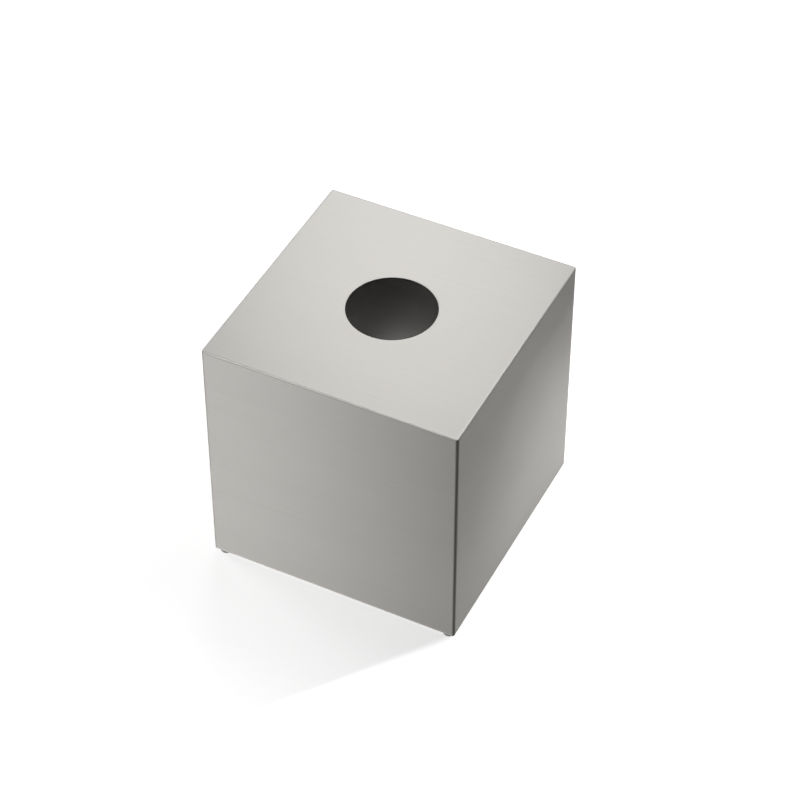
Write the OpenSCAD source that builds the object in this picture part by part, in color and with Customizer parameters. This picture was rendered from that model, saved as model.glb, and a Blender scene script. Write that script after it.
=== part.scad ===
// Cube cover for a carton of tissues. One stainless sheet shell, folded, seam-welded and ground:
// four walls with small upright folds, a top plate with a round dispensing hole, and a return lip
// folded inwards round the open underside. Four bumper feet are stuck under the lip's corners.
// The origin is on the surface it stands on, under its middle. The front is towards -Y, +Z is up.

/* [Shell] */
// Width of the shell, left to right over its outer faces
shell_w = 135; // [125:1:160]
// Depth of the shell, front to back over its outer faces
shell_d = 135; // [125:1:160]
// Height of the shell, from the underside of its lip to its top face
shell_h = 137; // [125:1:170]
// Thickness of the sheet
sheet_t = 0.8; // [0.6:0.1:1.2]
// Inside radius of the folds, upright ones and those of the lip
fold_in_r = 0.3; // [0.2:0.1:0.8]
// Radius that the welded edge of the top plate is ground to
top_edge_r = 0.4; // [0.2:0.1:0.6]

/* [Dispensing hole] */
// Diameter of the round hole that the tissues are pulled through
hole_d = 45; // [35:1:70]
// Radius of the smoothed upper and lower rim of the hole
hole_rim_r = 0.25; // [0.1:0.05:0.25]

/* [Return lip] */
// Width of the lip, measured inwards from the outer face of its wall
lip_w = 9; // [8.5:0.5:12]
// Width of the open mitre between two lips at a corner
mitre_gap = 0.4; // [0.2:0.1:1]

/* [Feet] */
// Diameter of a foot
foot_d = 6.6; // [5:0.1:7]
// Height of a foot, which is how far the lip stands off the surface
foot_h = 2.7; // [1.5:0.1:4]
// Flat left between the fold of the lip and the edge of a foot
foot_margin = 0.1; // [0.1:0.1:0.5]
// Radius of the rounded lower rim of a foot
foot_rim_r = 0.8; // [0.3:0.1:1]

/* [Hidden] */
// How far a cut runs past the face that it opens
overrun = 1;
// Outside radius of the folds
fold_out_r = fold_in_r + sheet_t;
// Level of the top face above the surface
top_z = foot_h + shell_h;
// Clear width and depth between the walls
inner_w = shell_w - 2 * sheet_t;
inner_d = shell_d - 2 * sheet_t;
// Width and depth of the open underside, between the lips
mouth_w = shell_w - 2 * lip_w;
mouth_d = shell_d - 2 * lip_w;
// A mitre starts inside the fold, and runs out through the corner of the mouth
mitre_start = fold_out_r;
mitre_l = (lip_w - mitre_start) * sqrt(2) + overrun;
// Middle of a foot, measured inwards from the outer faces
foot_in = fold_out_r + foot_margin + foot_d / 2;
$fn = 96;

// What rounding takes off the lower right corner of an outline, with that corner at the origin
module corner_waste(r) {
    if (r > 0)
        translate([-r, 0])
            difference() {
                square([r, r]);
                translate([0, r])
                    circle(r = r);
            }
}

// Right half of an upright outline on the X axis, with its own upper and lower corner radius
module half_outline(reach, h, upper_r, lower_r) {
    difference() {
        square([reach, h]);
        translate([reach, 0])
            corner_waste(lower_r);
        translate([reach, h])
            mirror([0, 1])
                corner_waste(upper_r);
    }
}

// Bar of that outline and its mirror image, l long, that lies along the Y axis on z = 0
module rounded_bar(w, l, h, upper_r, lower_r) {
    rotate([90, 0, 0])
        linear_extrude(l, center = true)
            for (side = [0, 1])
                mirror([side, 0])
                    half_outline(w / 2, h, upper_r, lower_r);
}

// Block that stands on z = 0, with round uprights and its own radius along upper and lower edges
module rounded_block(w, d, h, upright_r, upper_r, lower_r) {
    rounded_bar(w, d - 2 * upright_r, h, upper_r, lower_r);
    rotate([0, 0, 90])
        rounded_bar(d, w - 2 * upright_r, h, upper_r, lower_r);
    for (x = [-1, 1], y = [-1, 1])
        translate([x * (w / 2 - upright_r), y * (d / 2 - upright_r), 0])
            rotate_extrude()
                half_outline(upright_r, h, upper_r, lower_r);
}

// Space of the dispensing hole through the top plate, flared by the rounding of both rims
module dispensing_hole() {
    hole_r = hole_d / 2;
    translate([0, 0, top_z - sheet_t - overrun])
        cylinder(r = hole_r, h = sheet_t + 2 * overrun);
    rotate_extrude()
        difference() {
            translate([0, top_z - sheet_t - hole_rim_r])
                square([hole_r + hole_rim_r, sheet_t + 2 * hole_rim_r]);
            translate([hole_r, top_z - sheet_t + hole_rim_r])
                square([2 * hole_rim_r, sheet_t - 2 * hole_rim_r]);
            for (z = [top_z - hole_rim_r, top_z - sheet_t + hole_rim_r])
                translate([hole_r + hole_rim_r, z])
                    circle(r = hole_rim_r);
        }
}

// Slits where the lips of two walls meet at 45 degrees
module mitres() {
    for (x = [0, 1], y = [0, 1])
        mirror([x, 0, 0])
            mirror([0, y, 0])
                translate([shell_w / 2 - mitre_start, shell_d / 2 - mitre_start, foot_h - overrun])
                    rotate([0, 0, 225])
                        translate([0, -mitre_gap / 2, 0])
                            cube([mitre_l, mitre_gap, sheet_t + 2 * overrun]);
}

// The whole sheet metal shell
module shell() {
    color("silver")
        difference() {
            translate([0, 0, foot_h])
                rounded_block(shell_w, shell_d, shell_h, fold_out_r, top_edge_r, fold_out_r);
            translate([0, 0, foot_h + sheet_t])
                rounded_block(inner_w, inner_d, shell_h - 2 * sheet_t, fold_in_r, 0, fold_in_r);
            translate([-mouth_w / 2, -mouth_d / 2, foot_h - overrun])
                cube([mouth_w, mouth_d, sheet_t + 2 * overrun]);
            dispensing_hole();
            mitres();
        }
}

// Bumper foot under one corner of the lip: side is [-1 left or 1 right, -1 front or 1 back]
module foot(side) {
    color("dimgray")
        translate([side[0] * (shell_w / 2 - foot_in), side[1] * (shell_d / 2 - foot_in), 0])
            rotate_extrude()
                half_outline(foot_d / 2, foot_h, 0, foot_rim_r);
}

shell();
foot([-1, -1]);  // foot_front_left
foot([1, -1]);  // foot_front_right
foot([-1, 1]);  // foot_back_left
foot([1, 1]);  // foot_back_right
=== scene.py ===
"""Cube cover for a carton of tissues, in brushed stainless sheet: finishes, floor, lights and camera."""

import math

import bmesh
import bpy
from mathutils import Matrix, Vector


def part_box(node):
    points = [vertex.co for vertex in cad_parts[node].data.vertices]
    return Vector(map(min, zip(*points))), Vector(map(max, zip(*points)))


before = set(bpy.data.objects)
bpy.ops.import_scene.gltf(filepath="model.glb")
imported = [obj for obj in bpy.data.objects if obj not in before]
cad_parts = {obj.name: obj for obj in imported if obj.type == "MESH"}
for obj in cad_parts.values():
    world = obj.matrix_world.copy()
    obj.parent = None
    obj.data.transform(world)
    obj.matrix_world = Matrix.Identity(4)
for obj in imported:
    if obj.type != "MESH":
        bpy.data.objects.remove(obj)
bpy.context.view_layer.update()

MM = 0.001

# Sizes of the cover. Its box is read from the frame, and its sheet and hole repeat the construction
SHELL_LOW, SHELL_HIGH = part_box("shell")
SHELL_W = SHELL_HIGH.x - SHELL_LOW.x
HALF_W = SHELL_W / 2
TOP_Z = SHELL_HIGH.z
LIP_Z = SHELL_LOW.z
SHEET_T = 0.8 * MM
HOLE_R = 22.5 * MM
# Reach of the dark joint line in the near right fold, along the front and along the right wall. Its darkness
# is painted shade of the open seam
SEAM_FRONT = 0.75 * MM
SEAM_RIGHT = 1.7 * MM

# Scale of the ground finish along and across its strokes, and of the faint cloud in it along each axis
GRAIN_ALONG = 45.0
GRAIN_ACROSS = 6500.0
CLOUD_SCALE = (9.0, 9.0, 60.0)
# How much the strokes and the cloud change its tone, and the strokes its roughness and height
STROKE_TONE = 1.1
CLOUD_TONE = 0.25
STROKE_ROUGHNESS = 0.12
STROKE_DEPTH = 0.012 * MM
# Roughness of the faces, and how far the gloss of the walls is drawn out, with its direction in turns
WALL_ROUGHNESS = 0.47
WALL_STRETCH = 1.0
WALL_TURN = 0.25
TOP_ROUGHNESS = 0.34
INNER_ROUGHNESS = 0.42

# How far from the walls the floor's painted glow for reflections reaches, and how wide its dimmer strip along
# the walls is
GLOW_REACH = 105 * MM
GLOW_FADE = 90 * MM
NEAR_FLOOR = 60 * MM
# How far from the near corner the floor's white is lowered as a painted deeper shadow, the direction across
# the line along which painted white ends the shadow, and where the far floor turns white
DEEP_SHADOW = 110 * MM
SHADOW_ACROSS = (0.8, 0.6)
FAR_FLOOR = 350 * MM
FAR_FLOOR_FADE = 300 * MM
# The floor reaches this far to each side
FLOOR_REACH = 10.0
# White that the floor adds for the camera: its level, how much of it the painted deeper shadow takes away,
# the painted light added past the shadow's line, what is added far away, the painted light in a strip under
# the front lip, and what is left under the cover, where the rest is taken away as painted shade
FLOOR_WHITE = 0.624
PAINTED_SHADOW_LOSS = 0.085
PAST_GAIN = 0.3
FAR_GAIN = 0.35
STRIP_GAIN = 0.11
COVERED_WHITE = 0.03
# White that it adds in reflections only, a painted reflection: its glow beside the walls and the share of
# that along the walls, on a patch under the back left, and in a glow under the front lip
GLOW_WHITE = 0.67
DIM_SHARE = 0.6
PATCH_WHITE = 0.88
LIP_GLOW_WHITE = 0.5
# Light of the room, and what its paler sides add to it in reflections
ROOM_LIGHT = 0.1
PALE_GAIN = 0.38

# Camera of the photograph, in widths of the cover from the middle of its visible lower edge
CAMERA_AZIMUTH = 26.465
CAMERA_ELEVATION = 43.886
CAMERA_PLACE = Vector((3.1451, -6.2532, 7.2891))
CAMERA_NEAREST = 10 * MM
FOCAL_PX = 2631.0
PHOTO_PX = 800
SENSOR_MM = 36
# The rounded lower fold shows its outline this far above the underside of the lip
SEEN_EDGE_RISE = 0.57 * MM


def grey(level, warm=0.0):
    """Neutral colour, or one with less blue, and a third of that less green, where warm is above 0."""
    return (level, level * (1 - 0.35 * warm), level * (1 - warm), 1.0)


WHITE = grey(1.0)
GROUND_DARK = grey(0.38, 0.07)
GROUND_PALE = grey(0.48, 0.07)
# Painted highlight and painted shade for the rim of the top face
RIM_HIGHLIGHT = grey(0.62, 0.05)
RIM_SHADE = grey(0.30, 0.05)
# Painted highlight for the rounded top edge and the folds
EDGE_HIGHLIGHT = grey(0.75, 0.05)
# Painted dark reflection for the line under the rounded top edge
EDGE_DARK_REFLECTION = grey(0.20, 0.07)
# Joint line, dark with painted shade of the open seam
JOINT_SHADE = grey(0.13, 0.08)
MILL_DARK = grey(0.42, 0.05)
MILL_PALE = grey(0.52, 0.05)
CUT_STEEL = grey(0.16, 0.05)
RUBBER_DARK = grey(0.13)
RUBBER_PALE = grey(0.18)
FLOOR_GREY = grey(0.8)


class Value:
    """A number on a node socket, with operators that add Math nodes."""

    def __init__(self, material, socket):
        self.material = material
        self.socket = socket

    def math(self, operation, *others, clamp=False):
        return self.material.math(operation, self, *others, clamp=clamp)

    def __add__(self, other):
        return self.math("ADD", other)

    def __radd__(self, other):
        return self.math("ADD", other)

    def __sub__(self, other):
        return self.math("SUBTRACT", other)

    def __rsub__(self, other):
        return self.material.math("SUBTRACT", other, self)

    def __mul__(self, other):
        return self.math("MULTIPLY", other)

    def __rmul__(self, other):
        return self.math("MULTIPLY", other)

    def __truediv__(self, other):
        return self.math("DIVIDE", other)

    def __rtruediv__(self, other):
        return self.material.math("DIVIDE", other, self)

    def __abs__(self):
        return self.math("ABSOLUTE")

    def at_least(self, other):
        return self.math("MAXIMUM", other)

    def clamped(self):
        """The value, kept between 0 and 1."""
        return self.math("ADD", 0.0, clamp=True)

    def above(self, level, soft):
        """0 below the level and 1 above it, with a soft step that wide."""
        return ((self - level) / soft + 0.5).clamped()

    def below(self, level, soft):
        """1 below the level and 0 above it, with a soft step that wide."""
        return ((level - self) / soft + 0.5).clamped()


class Material:
    """A node material or world, built from expressions on its sockets."""

    def __init__(self, data, output="ShaderNodeOutputMaterial"):
        self.data = data
        self.data.use_nodes = True
        self.tree = self.data.node_tree
        self.tree.nodes.clear()
        self.out = self.tree.nodes.new(output)

    def plug(self, socket, value):
        """Links a value or another socket to the socket, or sets it to a number, a colour or a vector."""
        if isinstance(value, Value):
            value = value.socket
        if isinstance(value, bpy.types.NodeSocket):
            self.tree.links.new(value, socket)
        else:
            socket.default_value = value

    def node(self, kind, settings=None, **sockets):
        """A node of that type. Socket names are written with _ for a space, or as in0, in1 for a place."""
        made = self.tree.nodes.new(kind)
        for name, value in (settings or {}).items():
            setattr(made, name, value)
        for name, value in sockets.items():
            place = int(name[2:]) if name[:2] == "in" and name[2:].isdigit() else name.replace("_", " ")
            self.plug(made.inputs[place], value)
        return made

    def math(self, operation, *values, clamp=False):
        settings = {"operation": operation, "use_clamp": clamp}
        made = self.node("ShaderNodeMath", settings, **{f"in{i}": v for i, v in enumerate(values)})
        return Value(self, made.outputs[0])

    def place(self, kind="Object"):
        """Coordinates of that kind, as a vector socket and as three values, in metres on an object."""
        point = self.node("ShaderNodeTexCoord").outputs[kind]
        split = self.node("ShaderNodeSeparateXYZ", in0=point)
        return point, [Value(self, split.outputs[axis]) for axis in range(3)]

    def ray(self, kind):
        """1 for rays of that kind, such as Camera or Glossy, and 0 for all others."""
        return Value(self, self.node("ShaderNodeLightPath").outputs[f"Is {kind} Ray"])

    def noise(self, vector, scale=1.0, detail=2.0):
        made = self.node("ShaderNodeTexNoise", Vector=vector, Scale=scale, Detail=detail)
        return Value(self, made.outputs["Fac"])

    def stretched(self, point, scale):
        """The point with each of its coordinates scaled on its own, for a grain that runs one way."""
        return self.node("ShaderNodeVectorMath", {"operation": "MULTIPLY"}, in0=point, in1=scale).outputs[0]

    def mix(self, share, first, second):
        """Colour between two, by a share from 0 to 1. The node's sockets 6 and 7 are its colours."""
        return self.node("ShaderNodeMix", {"data_type": "RGBA"}, in0=share, in6=first, in7=second).outputs[2]

    def bump(self, height, depth, strength):
        return self.node("ShaderNodeBump", Height=height, Distance=depth, Strength=strength).outputs["Normal"]

    def metal(self, colour, roughness, **sockets):
        sockets.update(Base_Color=colour, Metallic=1.0, Roughness=roughness)
        return self.node("ShaderNodeBsdfPrincipled", **sockets).outputs[0]

    def blend(self, share, first, second):
        """Shader between two, by a share from 0 to 1."""
        return self.node("ShaderNodeMixShader", in0=share, in1=first, in2=second).outputs[0]

    def show(self, shader):
        self.plug(self.out.inputs["Surface"], shader)
        return self.data


def grain(m, point, scale):
    """Long thin strokes of a ground finish, in three widths, as a value round 0.5."""

    def strokes(scale_share, detail):
        return m.noise(m.stretched(point, [axis * scale_share for axis in scale]), detail=detail)

    fine, broad, broadest = strokes(1.0, 2.0), strokes(0.42, 1.0), strokes(0.11, 1.0)
    return (fine + broad * 0.8 + broadest * 0.6) / 2.4


def edge_layers(x, y, in_wall, down, up):
    """Shares and shades of the highlights and shades painted along the sheet's edges, and of its near joint
    line, in the order in which they are laid on.
    """
    in_front, in_left, in_right = HALF_W + y, HALF_W + x, HALF_W - x
    # 1 at the near corner, 0 at the corners beside it and -1 at the far one
    near = (x - y) / SHELL_W
    front_side = in_front.below(0.8 * MM, 0.3 * MM)
    under_edge = down.above(0.4 * MM, 0.2 * MM)

    # Painted highlight on the rim of the top face towards the near corner and painted shade on it towards the
    # far one, a painted highlight on the rounding of its edge, and a painted dark reflection under that
    margin = in_wall.below(0.85 * MM, 0.15 * MM) * down.below(0.05 * MM, 0.05 * MM)
    rounding = down.above(0.02 * MM, 0.04 * MM) * down.below(0.4 * MM, 0.2 * MM)
    rounding = rounding * (0.2 + 0.65 * near.at_least(0) + front_side * (0.45 - 0.45 * near))
    dark_reflection = down.above(0.38 * MM, 0.1 * MM) * down.below(1.05 * MM, 0.5 * MM)
    dark_reflection = dark_reflection * (0.35 + front_side * (0.3 - 0.35 * near))

    # Painted highlight on the upright fold at the left corner and on the lower fold of the front, and the
    # joint line at the near corner, dark with painted shade of the open seam
    left_fold = in_left.below(0.9 * MM, 0.4 * MM) * in_front.below(1.2 * MM, 0.3 * MM) * under_edge
    lower_fold = up.below(1.3 * MM, 0.5 * MM) * in_front.below(0.7 * MM, 0.3 * MM)
    joint = (1 - in_right / SEAM_FRONT - in_front / SEAM_RIGHT).above(0, 0.6) * under_edge

    return [
        (margin * near.at_least(0) * 0.6, RIM_HIGHLIGHT),
        (margin * (0 - near).at_least(0) * 0.35, RIM_SHADE),
        (rounding, EDGE_HIGHLIGHT),
        (left_fold * 0.35, EDGE_HIGHLIGHT),
        (lower_fold * 0.6, EDGE_HIGHLIGHT),
        (dark_reflection, EDGE_DARK_REFLECTION),
        (joint, JOINT_SHADE),
    ]


def brushed_sheet():
    """Satin-ground stainless: grain level on the walls and left to right on the top, mill finish inside."""
    m = Material(bpy.data.materials.new("brushed_sheet"))
    point, (x, y, z) = m.place()
    cloud = m.noise(m.stretched(point, CLOUD_SCALE))

    # How far a point lies inside the outer faces of the walls, under the top and above the lip's underside
    in_wall = HALF_W - abs(x).at_least(abs(y))
    down, up = TOP_Z - z, z - LIP_Z
    layers = edge_layers(x, y, in_wall, down, up)

    def ground(scale, roughness, **sockets):
        """Ground finish with its grain at that scale, and the painted edge highlights and shades laid over
        it.
        """
        strokes = grain(m, point, scale)
        tone = 0.5 + (strokes - 0.5) * STROKE_TONE + (cloud - 0.5) * CLOUD_TONE
        colour = m.mix(tone, GROUND_DARK, GROUND_PALE)
        for share, shade in layers:
            colour = m.mix(share, colour, shade)
        sockets["Normal"] = m.bump(strokes, STROKE_DEPTH, 0.6)
        return m.metal(colour, roughness + (strokes - 0.5) * STROKE_ROUGHNESS, **sockets)

    wall_scale = (GRAIN_ALONG, GRAIN_ALONG, GRAIN_ACROSS)
    top_scale = (GRAIN_ALONG, GRAIN_ACROSS, GRAIN_ALONG)
    walls = ground(wall_scale, WALL_ROUGHNESS, Anisotropic=WALL_STRETCH, Anisotropic_Rotation=WALL_TURN)
    top = ground(top_scale, TOP_ROUGHNESS)
    outside = m.blend(down.below(0.25 * MM, 0.2 * MM), walls, top)

    # Mill finish inside, and the cut edge of the hole
    inside = in_wall.above(SHEET_T / 2, 0.1 * MM) * down.above(SHEET_T / 2, 0.1 * MM)
    inside = inside * up.above(SHEET_T / 2, 0.1 * MM)
    from_axis = m.math("SQRT", x * x + y * y)
    cut_edge = from_axis.below(HOLE_R + 0.12 * MM, 0.08 * MM) * down.below(SHEET_T * 1.5, 0.1 * MM)
    mill = m.mix(cut_edge, m.mix(cloud, MILL_DARK, MILL_PALE), CUT_STEEL)
    hidden = m.metal(mill, INNER_ROUGHNESS + cut_edge * 0.1)
    return m.show(m.blend(inside.at_least(cut_edge), outside, hidden))


def foot_rubber():
    """Dark grey rubber with a satin skin and a faint mould texture."""
    m = Material(bpy.data.materials.new("foot_rubber"))
    point, _ = m.place()
    speckle = m.noise(point, 4500.0, 3.0)
    smear = m.noise(point, 500.0)
    shader = m.node(
        "ShaderNodeBsdfPrincipled",
        Base_Color=m.mix(smear, RUBBER_DARK, RUBBER_PALE),
        Roughness=0.35 + (speckle - 0.5) * 0.2,
        Coat_Weight=0.6,
        Coat_Roughness=0.2,
        Normal=m.bump(speckle, 0.02 * MM, 0.4),
    )
    return m.show(shader.outputs[0])


def floor_paint():
    """Pale floor. It keeps the lamps' shadow, and adds white that the camera and reflections see, with
    painted shadow, painted light and painted reflections in that white.
    """
    m = Material(bpy.data.materials.new("pale_floor"))
    _, (x, y, _) = m.place()
    # How far a point lies in front of the right and the front wall, and outside the cover
    right, front = x - HALF_W, 0 - y - HALF_W
    outwards = abs(x).at_least(abs(y)) - HALF_W
    under_lip = front.above(-4 * MM, 2 * MM) * abs(x).below(HALF_W - 2 * MM, 4 * MM)

    # Painted reflections, a glow that only reflections see: the walls reflect it on the floor beside them,
    # ending a hand's width away, the inside reflects a patch of it under its back left, and the lower fold
    # reflects it under the front lip
    beside = outwards.above(-1.5 * MM, 2 * MM)
    painted_glow = beside * outwards.below(GLOW_REACH, GLOW_FADE)
    painted_glow = painted_glow * (DIM_SHARE + (1 - DIM_SHARE) * (outwards / NEAR_FLOOR).clamped())
    patch = (1 - beside) * x.below(-30 * MM, 10 * MM) * y.above(20 * MM, 10 * MM)
    lip_glow = under_lip * front.below(1 * MM, 3 * MM)
    reflected = painted_glow * GLOW_WHITE + patch * PATCH_WHITE + lip_glow * LIP_GLOW_WHITE

    # The camera sees a white that is lower by the near corner, as a painted deeper shadow, higher past the
    # line that the shadow ends along, as painted light that cuts its edge, higher far away, higher just
    # inside the front lip, as painted light in place of the shade there, and nearly gone under the cover, as
    # painted shade
    from_corner = m.math("SQRT", right * right + front * front)
    painted_shadow = (1 - from_corner / DEEP_SHADOW).clamped()
    across = right * SHADOW_ACROSS[0] + front * SHADOW_ACROSS[1]
    past = right.at_least(across).above(-2.5 * MM, 5 * MM)
    far = outwards.above(FAR_FLOOR, FAR_FLOOR_FADE)
    strip = under_lip * front.below(-1.7 * MM, 1.4 * MM)
    seen = FLOOR_WHITE - painted_shadow * PAINTED_SHADOW_LOSS + past * PAST_GAIN + far * FAR_GAIN + strip * STRIP_GAIN
    seen = seen * outwards.above(-9 * MM, 8 * MM) + COVERED_WHITE

    strength = m.ray("Camera").at_least(m.ray("Transmission")) * seen + m.ray("Glossy") * reflected
    paint = m.node("ShaderNodeBsdfDiffuse", Color=FLOOR_GREY).outputs[0]
    white = m.node("ShaderNodeEmission", Color=WHITE, Strength=strength).outputs[0]
    return m.show(m.node("ShaderNodeAddShader", in0=paint, in1=white).outputs[0])


def studio_walls():
    """The room round the cover: white to the camera, and dim with three paler sides in reflections."""
    m = Material(bpy.data.worlds.new("studio"), "ShaderNodeOutputWorld")
    _, (x, y, z) = m.place("Generated")
    level = m.math("SQRT", x * x + y * y)

    def side(azimuth, half_angle, height, fade):
        """The room to either side of an azimuth in degrees, up to a height from 0 to 1."""
        turn = math.radians(azimuth)
        towards = x * math.cos(turn) + y * math.sin(turn)
        within = towards - level * math.cos(math.radians(half_angle))
        return within.above(0.04, 0.08) * z.below(height, fade)

    right = side(azimuth=-34, half_angle=59, height=0.7, fade=0.2)
    left = side(azimuth=187, half_angle=40, height=0.7, fade=0.2)
    back_left = side(azimuth=140, half_angle=14, height=0.42, fade=0.15)
    pale = right.at_least(left).at_least(back_left)
    strength = (ROOM_LIGHT + m.ray("Glossy") * pale * PALE_GAIN).at_least(m.ray("Camera"))
    return m.show(m.node("ShaderNodeBackground", Color=WHITE, Strength=strength).outputs[0])


def dress():
    """Gives every CAD node its finish."""
    finishes = {"shell": brushed_sheet()}
    rubber = foot_rubber()
    for name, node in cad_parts.items():
        node.material_slots[0].material = finishes.get(name, rubber)


def lay_floor():
    mesh = bpy.data.meshes.new("floor")
    square = bmesh.new()
    bmesh.ops.create_grid(square, x_segments=1, y_segments=1, size=FLOOR_REACH)
    square.to_mesh(mesh)
    square.free()
    floor = bpy.data.objects.new("floor", mesh)
    bpy.context.scene.collection.objects.link(floor)
    mesh.materials.append(floor_paint())


def lamp(name, place, aim, width, height, power):
    """Rectangular soft light at a place in metres, turned towards its aim. No camera sees the lamp itself."""
    data = bpy.data.lights.new(name, "AREA")
    data.shape = "RECTANGLE"
    data.size = width
    data.size_y = height
    data.energy = power
    made = bpy.data.objects.new(name, data)
    bpy.context.scene.collection.objects.link(made)
    made.location = place
    made.rotation_euler = (Vector(aim) - Vector(place)).to_track_quat("-Z", "Y").to_euler()
    made.visible_camera = False


def stand_lamp(name, azimuth, elevation, distance, width, height, power):
    """Lamp aimed at the middle of the cover, by its direction in degrees. Azimuth 0 is +X, 90 is +Y."""
    turn, tilt = math.radians(azimuth), math.radians(elevation)
    towards = Vector((math.cos(turn) * math.cos(tilt), math.sin(turn) * math.cos(tilt), math.sin(tilt)))
    middle = Vector((0, 0, TOP_Z / 2))
    lamp(name, middle + distance * towards, middle, width, height, power)


def panel(name, place, width, depth, power):
    """Small light that hangs level beside a wall and shines down on the floor, a hair off the vertical so
    that its width lies along X."""
    x, y, _ = place
    lamp(name, place, (x, y + MM, 0), width, depth, power)


def light_up():
    stand_lamp("key", azimuth=51, elevation=76, distance=1.6, width=0.2, height=0.5, power=1.63)
    stand_lamp("key_low", azimuth=51, elevation=60, distance=1.6, width=0.12, height=0.5, power=3.93)
    stand_lamp("ceiling", azimuth=116, elevation=42, distance=1.5, width=0.5, height=0.8, power=2.85)
    stand_lamp("low_left", azimuth=-110, elevation=6, distance=1.0, width=0.3, height=0.3, power=1.07)
    stand_lamp("left", azimuth=-120, elevation=20, distance=1.0, width=0.3, height=0.3, power=1.53)
    stand_lamp("side_left", azimuth=-150, elevation=12, distance=1.2, width=0.5, height=0.25, power=0.5)
    stand_lamp("back_left", azimuth=170, elevation=12, distance=1.3, width=0.4, height=0.25, power=5.2)
    stand_lamp("low_right", azimuth=62, elevation=5, distance=1.2, width=0.3, height=0.1, power=4.1)
    panel("panel_right", place=(0.18, 0.16, 0.10), width=0.12, depth=0.16, power=0.089)
    panel("panel_near", place=(0.14, 0.11, 0.12), width=0.12, depth=0.18, power=0.026)
    panel("panel_low", place=(0.10, 0.14, 0.06), width=0.05, depth=0.10, power=0.008)
    bpy.context.scene.world = studio_walls()


def set_camera():
    data = bpy.data.cameras.new("camera")
    data.sensor_width = SENSOR_MM
    data.lens = FOCAL_PX / PHOTO_PX * SENSOR_MM
    data.clip_start = CAMERA_NEAREST
    camera = bpy.data.objects.new("camera", data)
    bpy.context.scene.collection.objects.link(camera)
    azimuth, elevation = math.radians(CAMERA_AZIMUTH), math.radians(CAMERA_ELEVATION)
    back = Vector((
        math.sin(azimuth) * math.cos(elevation),
        -math.cos(azimuth) * math.cos(elevation),
        math.sin(elevation),
    ))
    camera.rotation_euler = (-back).to_track_quat("-Z", "Y").to_euler()
    camera.location = CAMERA_PLACE * SHELL_W + Vector((0, 0, LIP_Z + SEEN_EDGE_RISE))
    bpy.context.scene.camera = camera


dress()
lay_floor()
light_up()
set_camera()
bpy.context.scene.view_settings.view_transform = "Standard"
